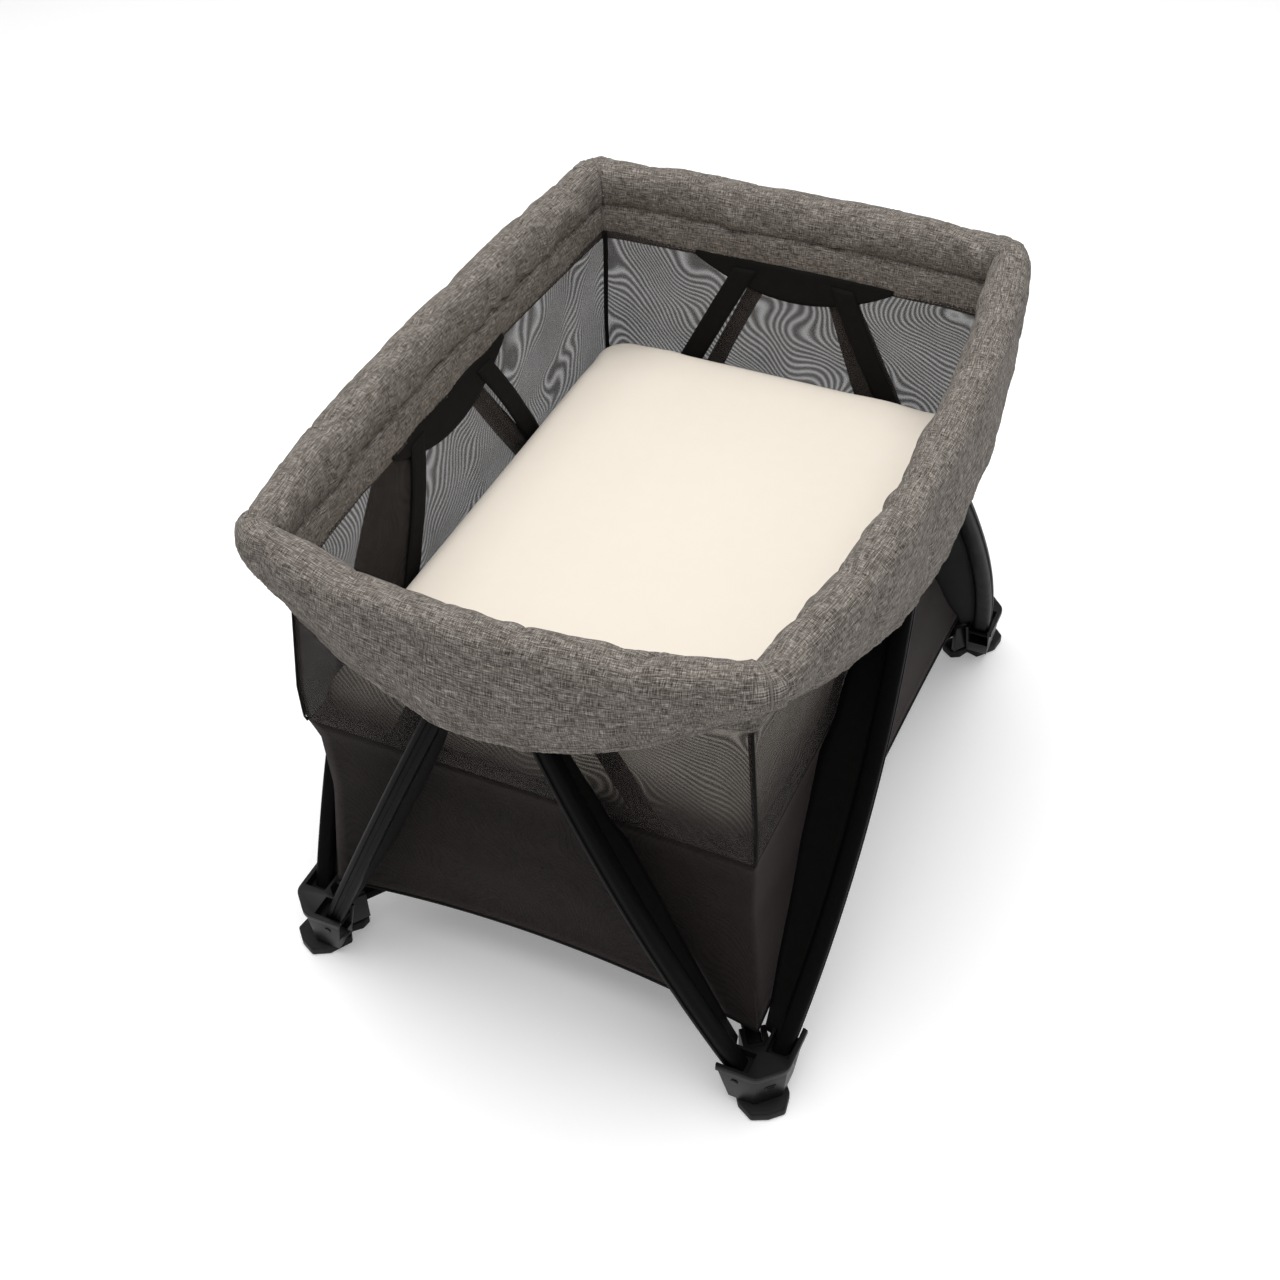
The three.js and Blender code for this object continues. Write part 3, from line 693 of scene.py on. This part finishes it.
# ---- mesh walls -----------------------------------------------------------------------------
def wall_corner(s, z):
    """Half length and distance of a wall at its corners, at height z."""
    levels = [
        (SKIRT_Z, s.skirt_along, s.skirt_out), (0.30, s.wall_along - 0.012, s.wall_out - 0.012),
        (0.40, s.wall_along - 0.010, s.wall_out - 0.010), (0.445, s.wall_along, s.wall_out),
        (0.50, s.wall_along, s.wall_out), (0.645, s.half - 0.024, s.corner_out - 0.0235),
    ]
    heights, halves, outs = zip(*levels)
    return np.interp(z, heights, halves), np.interp(z, heights, outs)


def wall_out_at(s, along, z):
    """Distance of the upper wall from the middle."""
    half, out = wall_corner(s, z)
    middle = 1 - np.minimum(1, np.abs(along / half)) ** 2
    top = s.crest(along) - VALANCE + WALL_LAP
    up = np.clip((z - BASSINET_TOP) / (top - BASSINET_TOP), 0, 1)
    return out + s.bow * middle * up - WALL_HOLLOW * middle * np.sin(math.pi * up)


def wall_grid(s, v0, v1, columns, rows):
    """Points of a wall between shares v0 and v1 of its height, from the top down."""
    t = np.linspace(-1, 1, columns)[:, None]
    v = np.linspace(v0, v1, rows)[None]
    middle = 1 - t**2
    top = s.crest(t * s.half) - VALANCE + WALL_LAP
    low = SKIRT_Z + SKIRT_ARCH * middle
    z = top + (low - top) * v
    half, out = wall_corner(s, z)
    up = np.clip((z - BASSINET_TOP) / (top - BASSINET_TOP), 0, 1)
    down = np.clip((BASSINET_LOW - z) / (BASSINET_LOW - low), 0, 1)
    out = out + s.bow * middle * up - s.tuck * middle * down
    out = out + WALL_BELLY * middle * np.sin(math.pi * down) ** 2 - WALL_HOLLOW * middle * np.sin(math.pi * up)
    return s.place(t * half, out + 0 * t, z)


def split_share(s):
    """Share of the wall's height where the bassinet's low edge is."""
    top = RIM_TOP - VALANCE + WALL_LAP
    return (top - BASSINET_LOW) / (top - SKIRT_Z)


def mesh_wall(s):
    """A side's wall: the net round the bassinet and the denser one under it, with its tapes."""
    columns = 49 if s.long else 37
    share = split_share(s)
    for label, v0, v1, rows, material in (("upper", 0, share, 17, NET), ("lower", share, 1, 19, SKIRT_NET)):
        grid = wall_grid(s, v0, v1, columns, rows)
        thick = np.full(grid.shape[:2], 0.0012)
        made = shell(f"{s.name}_wall_{label}", grid, thick, material, s.out + 0 * grid)
        if label == "upper":
            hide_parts(f"{s.name}_mesh_wall")
        settle(made, f"{s.name}_hub")
        crumple(made, s)
    hem = wall_grid(s, 0.992, 1.0, columns, 3)
    tape(f"{s.name}_skirt_hem", hem, 0.0024, s)
    # tape inside each corner of the bassinet, and the thin seam outside it
    for number, end in enumerate(s.ends):
        edge = wall_grid(s, 0.0, share, columns, 31)
        first, second = (edge[0], edge[1]) if number == 0 else (edge[-1], edge[-2])
        way = (second - first) / np.linalg.norm(second - first, axis=-1, keepdims=True)
        inside = first - s.out * 0.0022
        strip = np.stack([inside + way * d for d in (0.0, 0.0030, 0.0060)])
        tape(f"{s.name}_binding_{end}", strip, 0.0012, s)
        if s.long:
            cord = first + s.out * 0.0008 - way * 0.0008
            seam = sweep(f"{s.name}_corner_seam_{end}", cord, circle(0.0017, 8), s.out, WEBBING)
            crumple(settle(seam, f"{s.name}_hub"), s)


def tape(name, grid, thickness, s):
    """A flat tape of webbing on a wall."""
    half = s.out * thickness / 2
    made = shell(name, grid + half, np.full(grid.shape[:2], thickness), WEBBING, s.out + 0 * grid)
    settle(made, f"{s.name}_hub")
    crumple(made, s)


for side in SIDES:
    mesh_wall(side)


# ---- frame ----------------------------------------------------------------------------------
def leg_line(s, sign, u):
    """Centreline of a leg; u runs from its pin in the foot to its pin in the hub."""
    u = np.asarray(u, float)
    top = s.rim_out(s.leg_top + RAIL_SPACING)
    along = (s.foot_along - LEG_INSET) * (1 - u) + s.leg_top * u
    out = (s.foot_out + LEG_OUTSET) * (1 - u) + top * u + 4 * s.leg_bow * u * (1 - u)
    return s.place(sign * along, out, LEG_PIVOT_Z * (1 - u) + LEG_TOP_Z * u)


# The extrusion: a rounded bar with a groove down its outer face.
LEG_SECTION = np.array([
    (-0.0125, -0.0060), (-0.0125, 0.0060), (-0.0118, 0.0098), (-0.0095, 0.0122), (-0.0062, 0.0132),
    (-0.0040, 0.0132), (-0.0030, 0.0112), (0.0030, 0.0112), (0.0040, 0.0132), (0.0062, 0.0132),
    (0.0095, 0.0122), (0.0118, 0.0098), (0.0125, 0.0060), (0.0125, -0.0060), (0.0112, -0.0100),
    (0.0080, -0.0122), (0.0, -0.0128), (-0.0080, -0.0122), (-0.0112, -0.0100),
])


def leg(s, sign, end):
    """A leg's tube, and the cloth fin that joins it to the wall."""
    node = f"{s.name}_leg_{end}"
    run = math.hypot(s.foot_along - LEG_INSET - s.leg_top, LEG_TOP_Z - LEG_PIVOT_Z)
    beyond = LEG_END / run
    line = leg_line(s, sign, np.linspace(-beyond, 1 + beyond, 60))
    made = sweep(f"{node}_tube", line, LEG_SECTION, s.out, TUBE)
    made.data.set_sharp_from_angle(angle=math.radians(38))
    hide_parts(node)
    settle(made, node)
    u = np.linspace(0.03, 0.93, 40)
    line = leg_line(s, sign, u)
    leg_out = line @ s.out - 0.011
    along, z = line @ s.along, line[:, 2]
    wall_out = wall_corner(s, z)[1] + 0.0005
    wall_out = wall_out + s.bow * np.clip((z - BASSINET_TOP) / 0.16, 0, 1) * (1 - (along / s.half) ** 2)
    wall_out = np.minimum(wall_out, leg_out - 0.004)
    across = np.linspace(0, 1, 6)[None]
    out = leg_out[:, None] * (1 - across) + wall_out[:, None] * across
    gap = np.clip((leg_out - wall_out) / 0.05, 0, 1)[:, None]
    inward = sign * gap * (0.020 * across + 0.004 * np.sin(math.pi * across))
    fin = s.place(along[:, None] - inward, out, z[:, None])
    thick = np.full(fin.shape[:2], 0.0016)
    made = shell(f"{s.name}_fin_{end}", fin, thick, WEBBING, sign * s.along + 0 * fin)
    settle(made, node)
    tuple(s.place(0.0, s.foot_out + LEG_OUTSET, 0.0))
    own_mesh(made)


def rail(s, sign, end):
    """The tube inside half of a side's rim."""
    node = f"{s.name}_rail_{end}"
    start = s.leg_top + RAIL_SPACING - 0.004
    stop = s.half - BRACKET / 2 - 0.00035 - RAIL_RADIUS * 2 * s.bow / s.half
    along = np.linspace(start, stop, 24)
    line = s.place(sign * along, s.rim_out(along), s.crest(along) - RAIL_DROP)
    made = sweep(f"{node}_tube", line, circle(RAIL_RADIUS, 24), s.out, TUBE)
    made.data.set_sharp_from_angle(angle=math.radians(50))
    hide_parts(node)
    settle(made, node)


for side in SIDES:
    for number, end_name in enumerate(side.ends):
        leg(side, -1 if number == 0 else 1, end_name)
        rail(side, -1 if number == 0 else 1, end_name)
    settle(bevelled(f"{side.name}_hub", 0.0016, PLASTIC), f"{side.name}_hub")


def disc(name, centre, axis, radius, height, material, rim=0.0008):
    """A low round button with a rounded edge, standing on its centre along its axis."""
    axis = Vector(axis).normalized()
    turns = np.linspace(0, 2 * math.pi, 25)[:-1]
    a = axis.orthogonal().normalized()
    b = axis.cross(a)
    rows = [
        (radius, 0), (radius, height - rim), (radius - rim * 0.3, height - rim * 0.3),
        (radius - rim, height), (radius * 0.5, height + rim * 0.3),
    ]
    points = []
    for r, h in rows:
        points += [Vector(centre) + a * r * math.cos(t) + b * r * math.sin(t) + axis * h for t in turns]
    return make(name, [tuple(p) for p in points], bar_faces(len(rows), len(turns)), material)


for corner_name, (sx, sy) in CORNERS.items():
    body = f"foot_{corner_name}"
    settle(bevelled(f"foot_socket_{corner_name}", 0.0016, PLASTIC), body)
    settle(bevelled(f"foot_pad_{corner_name}", 0.0032, RUBBER, 3), body)
    settle(bevelled(f"floor_arm_{corner_name}", 0.0012, TUBE), f"arm_{corner_name}")
    rail_side = "front" if sy < 0 else "rear"
    rail_end = "left" if sx < 0 else "right"
    bracket = bevelled(f"corner_bracket_{corner_name}", 0.002, PLASTIC)
    # it is drawn in a little, to stay inside the rounded corner of the cover
    centre = Vector((sx * (RIM_X - 0.008), sy * (RIM_Y - 0.008), RIM_TOP - RAIL_DROP))
    for vertex in bracket.data.vertices:
        offset = vertex.co - centre
        vertex.co = centre + Vector((offset.x * 0.62, offset.y * 0.62, offset.z * 0.8))
    settle(bracket, f"{rail_side}_rail_{rail_end}")


def foot_details(name, sx, sy):
    """A collar and a lid on the socket's top, a slot in its outer face and a button on each side."""
    def at(p, q, z):
        return np.array([sx * (FOOT_X + p), sy * (FOOT_Y + q), z])

    corners = [(-0.057, 0.0425), (0.010, 0.0425), (0.0425, 0.010), (0.0425, -0.047)]
    line = [corners[0]]
    for before, here, after in zip(corners, corners[1:], corners[2:]):
        before, here, after = (np.array(v) for v in (before, here, after))
        a = here + (before - here) / np.linalg.norm(before - here) * 0.009
        b = here + (after - here) / np.linalg.norm(after - here) * 0.009
        line += [(1 - t) ** 2 * a + 2 * t * (1 - t) * here + t**2 * b for t in np.linspace(0, 1, 7)]
    line.append(corners[3])
    rim = np.array([at(p, q, 0.0832) for p, q in line])
    section = rounded(0.0020, 0.0046, 0.0016)
    collar = sweep(f"foot_collar_{name}", rim, section, np.array([0, 0, 1.0]), PLASTIC)
    collar.data.set_sharp_from_angle(angle=math.radians(40))
    settle(collar, f"foot_{name}")
    inside = [
        (-0.050, 0.038), (0.0085, 0.038), (0.038, 0.0085), (0.038, -0.041), (0.005, -0.041),
        (0.003, 0.003), (-0.050, 0.005),
    ]
    rings = np.array([[at(p, q, z) for p, q in inside] for z in (0.0690, 0.0735, 0.0745)])
    rings[2] += (rings[2].mean(axis=0) - rings[2]) * 0.04
    lid = make(f"foot_lid_{name}", rings, bar_faces(*rings.shape[:2]), WEBBING, rings[..., :2], smooth=False)
    settle(lid, f"foot_{name}")
    face = np.array([sx, sy, -0.16])
    face /= np.linalg.norm(face)
    side_way = np.array([-sx * sy, 1.0, 0]) / math.sqrt(2)
    slot_frame = rounded(0.0085, 0.0036, 0.0030)
    base = at(0.0232, 0.0232, 0.052)
    lift = np.cross(face, side_way)
    outline = slot_frame[:, :1] * side_way + slot_frame[:, 1:] * lift
    rows = [(1.0, -0.0020), (1.0, 0.0008), (0.92, 0.0014), (0.74, 0.0014), (0.68, 0.0004), (0.60, -0.0006)]
    rings = np.array([base + outline * k + face * h for k, h in rows])
    slot = make(f"foot_slot_{name}", rings, bar_faces(*rings.shape[:2]), PLASTIC)
    settle(slot, f"foot_{name}")
    for label, where, axis in (
        ("long", at(-0.024, 0.0388, 0.060), (0, sy, -0.1)),
        ("short", at(0.0388, -0.022, 0.060), (sx, 0, -0.1)),
    ):
        button = disc(f"foot_button_{label}_{name}", where, axis, 0.0052, 0.0022, PLASTIC)
        settle(button, f"foot_{name}")


for corner_name, (sx, sy) in CORNERS.items():
    foot_details(corner_name, sx, sy)
settle(bevelled("floor_hub", 0.002, PLASTIC), "floor_hub")
settle(bevelled("fold_handle", 0.0022, PLASTIC, 3), "fold_handle")


# ---- bassinet -------------------------------------------------------------------------------
def super_rectangle(half_x, half_y, radius, count):
    """Points round a rounded rectangle, evenly spaced."""
    line = rounded(half_x, half_y, radius, 12)
    line = np.concatenate([line, line[:1]])
    return points_at(line, np.linspace(0, lengths_along(line)[-1], count, endpoint=False))


def mattress():
    """The fitted mattress: soft rounded edges, a little crowned, its corners a little lower."""
    half_x, half_y, radius = 0.4505, 0.3095, 0.046
    low, thick = BASSINET_LOW + 0.0045, 0.052
    edge = super_rectangle(half_x, half_y, radius, 240)
    # rings of the bottom face, of the rounded side and of the top face
    rings = []
    for share in np.linspace(0.04, 0.97, 16):
        rings.append((edge * share, low))
    for t in np.linspace(-math.pi / 2, math.pi / 2, 13):
        inset = 0.020 * (1 - math.cos(t))
        scale = 1 - inset / np.array([half_x, half_y])
        rings.append((edge * scale, low + thick / 2 + thick / 2 * math.sin(t)))
    for share in np.linspace(0.955, 0.04, 26):
        rings.append((edge * share, low + thick))
    points = []
    for flat, z in rings:
        top = max(0.0, (z - low) / thick)
        fx, fy = flat[:, 0] / half_x, flat[:, 1] / half_y
        crown = 0.0085 * (1 - fx**2) * (1 - fy**2) * top
        corner_drop = 0.010 * np.clip(np.abs(fx) - 0.72, 0, 1) * np.clip(np.abs(fy) - 0.6, 0, 1) / 0.11 * top
        points.append(np.stack([flat[:, 0], flat[:, 1], z + crown - corner_drop], -1))
    points = np.array(points)
    made = make("mattress_pad", points, bar_faces(*points.shape[:2]), SHEET)
    remesh = made.modifiers.new("even", "REMESH")
    remesh.mode, remesh.voxel_size, remesh.use_smooth_shade = "VOXEL", 0.006, True
    apply_modifiers(made)
    co = np.array([v.co for v in made.data.vertices])
    held = np.where(co[:, 2] < low + 0.006, 1.0, 0.0)
    puff(made, held, 2.5, cap=0.006, stiffness=18)
    smooth = made.modifiers.new("even", "CORRECTIVE_SMOOTH")
    smooth.factor, smooth.iterations = 0.6, 8
    smooth.smooth_type, smooth.use_only_smooth = "SIMPLE", True
    apply_modifiers(made)
    made.data.polygons.foreach_set("use_smooth", [True] * len(made.data.polygons))
    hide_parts("mattress")
    settle(made, "bassinet")


def strap(s):
    """A crescent flap under the rim's inner flap, and two straps that spread down to the bassinet."""
    def sheet_out(along, z):
        return wall_out_at(s, along, z) - 0.0034

    a = np.linspace(-FLAP_HALF, FLAP_HALF, 41)[:, None]
    v = np.linspace(0, 1, 9)[None]
    top = s.crest(a) - VALANCE + 0.010
    low = s.crest(a) - VALANCE + 0.003 - FLAP_DEPTH * (1 - (a / FLAP_HALF) ** 2)
    z = top + (low - top) * v
    flap = s.place(a + 0 * z, sheet_out(a + 0 * z, z), z)
    made = shell(f"{s.name}_flap", flap, np.full(flap.shape[:2], 0.0016), WEBBING, s.out + 0 * flap)
    settle(made, "bassinet")
    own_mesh(made)
    for sign in (-1, 1):
        t = np.linspace(0, 1, 25)[:, None]
        w = np.linspace(-0.5, 0.5, 6)[None] * STRAP_WIDTH
        z = (s.crest(s.strap_top) - VALANCE - 0.004) * (1 - t) + (BASSINET_LOW + 0.006) * t
        centre = s.strap_top + STRAP_SPREAD * t * 1.15
        along = sign * (centre + w)
        ribbon = s.place(along, sheet_out(along, z) - 0.0014, z + 0 * w)
        label = f"{s.name}_strap_{'low' if sign < 0 else 'high'}"
        ribbon_shell = shell(label, ribbon, np.full(ribbon.shape[:2], 0.0020), WEBBING, s.out + 0 * ribbon)
        settle(ribbon_shell, "bassinet")
        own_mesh(ribbon_shell)
    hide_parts(f"bassinet_strap_{s.name}")


def bassinet_tray():
    """The cloth bottom that the mattress lies in, with a low edge."""
    edge = super_rectangle(WALL_X - 0.0075, WALL_Y - 0.0075, 0.048, 200)
    rows = [(1.0, 0.018, 0.0), (1.0, 0.010, 0.0), (0.997, 0.003, 0.0)]
    rows += [(share, 0.0005, -0.003) for share in (0.985, 0.95, 0.85, 0.7, 0.5, 0.3, 0.12)]
    points = []
    for share, lift, sag in rows:
        z = np.full(len(edge), BASSINET_LOW + lift + sag * (1 - share))
        points.append(np.stack([edge[:, 0] * share, edge[:, 1] * share, z], -1))
    points = np.array(points)
    n, m = points.shape[:2]
    faces = grid_faces(n, m, closed=True) + [tuple(range((n - 1) * m, n * m))]
    made = make("bassinet_cloth", points, faces, TRAY_NET, points[..., :2])
    solid = made.modifiers.new("thick", "SOLIDIFY")
    solid.thickness, solid.offset = 0.0016, 0
    apply_modifiers(made)
    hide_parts("bassinet_tray")
    settle(made, "bassinet")


mattress()
bassinet_tray()
for side in SIDES:
    strap(side)


# ---- floor ----------------------------------------------------------------------------------
def floor_panel():
    """The floor cloth in four fields, each on its arm, meeting along the middles."""
    half_x, half_y, hole = SKIRT_X - SKIRT_TUCK - 0.010, SKIRT_Y - 0.010, 0.042
    first = None
    for name, (sx, sy) in CORNERS.items():
        turns = np.linspace(0, math.pi / 2, 25)
        t = np.linspace(0, 1, 14)[None]
        cosine, sine = np.cos(turns), np.sin(turns)
        to_short_side, to_long_side = half_x / np.maximum(cosine, 1e-9), half_y / np.maximum(sine, 1e-9)
        reach = np.minimum(to_short_side, to_long_side)
        r = hole + (reach[:, None] - hole) * t
        x, y = r * cosine[:, None], r * sine[:, None]
        share = np.where(to_short_side > to_long_side, reach * cosine / SKIRT_X, reach * sine / SKIRT_Y)
        lift = SKIRT_ARCH * (1 - share[:, None] ** 2) * t**5
        sag = 0.004 * np.sin(math.pi * t) * np.abs(np.sin(2 * turns - 2 * DIAGONAL))[:, None]
        grid = np.stack([sx * x, sy * y, FLOOR_Z + 0.0025 + lift - sag], -1)
        upward = np.array([0, 0, 1.0]) + 0 * grid
        made = shell(f"floor_cloth_{name}", grid, np.full(grid.shape[:2], 0.0022), WEBBING, upward)
        settle(made, f"arm_{name}")
        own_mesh(made)
        first = first or made
    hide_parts("floor_panel")


floor_panel()


# ---- room, light and camera -----------------------------------------------------------------
def studio():
    """A white floor, an even white surround and four soft lamps."""
    floor = make("studio_floor", [(-9, -9, 0), (9, -9, 0), (9, 9, 0), (-9, 9, 0)], [(0, 1, 2, 3)], PLASTIC)
    g = Graph("studio_floor")
    where = g.object_place()
    colour = g.mix(g.noise(where, 3, 2), grey(0.90), grey(0.915))
    floor.data.materials.clear()
    floor.data.materials.append(g.finish(**{
        "Base Color": colour, "Roughness": 0.85, "Specular IOR Level": 0.1,
        "Emission Color": (1, 1, 1, 1), "Emission Strength": 0.20,
    }))
    world = bpy.data.worlds.new("studio")
    world.use_nodes = True
    world.node_tree.nodes["Background"].inputs["Color"].default_value = (1, 1, 1, 1)
    world.node_tree.nodes["Background"].inputs["Strength"].default_value = 0.42
    bpy.context.scene.world = world
    bpy.context.scene.view_settings.view_transform = "Standard"
    for name, place, size, power in (
        ("top", (-0.1, 0.1, 3.9), 4.6, 172),
        ("key", (-1.6, -0.9, 3.0), 2.2, 5),
        ("fill", (2.4, -2.6, 2.0), 2.4, 9),
        ("back", (0.8, 2.8, 2.4), 2.2, 9),
    ):
        light = bpy.data.lights.new(name, "AREA")
        light.shape, light.size, light.energy = "DISK", size, power
        lamp = bpy.data.objects.new(name, light)
        lamp.location = place
        lamp.rotation_euler = (Vector((0, 0, 0.4)) - Vector(place)).to_track_quat("-Z", "Y").to_euler()
        bpy.context.scene.collection.objects.link(lamp)


def camera():
    """Looks down at the pen over its left front corner, turned a little about its own line of sight."""
    azimuth, elevation, roll = math.radians(-63.5), math.radians(43.07), math.radians(-2.54)
    level = math.cos(elevation)
    forward = Vector((-math.sin(azimuth) * level, math.cos(azimuth) * level, -math.sin(elevation)))
    right = Vector((math.cos(azimuth), math.sin(azimuth), 0))
    up = right.cross(forward)
    x = math.cos(roll) * right + math.sin(roll) * up
    y = -math.sin(roll) * right + math.cos(roll) * up
    data = bpy.data.cameras.new("camera")
    data.sensor_width, data.lens = 36.0, 50.57
    made = bpy.data.objects.new("camera", data)
    turn = Matrix((x, y, -forward)).transposed().to_4x4()
    made.matrix_world = Matrix.Translation((-1.758, -0.824, 2.116)) @ turn
    bpy.context.scene.collection.objects.link(made)
    bpy.context.scene.camera = made


studio()
camera()
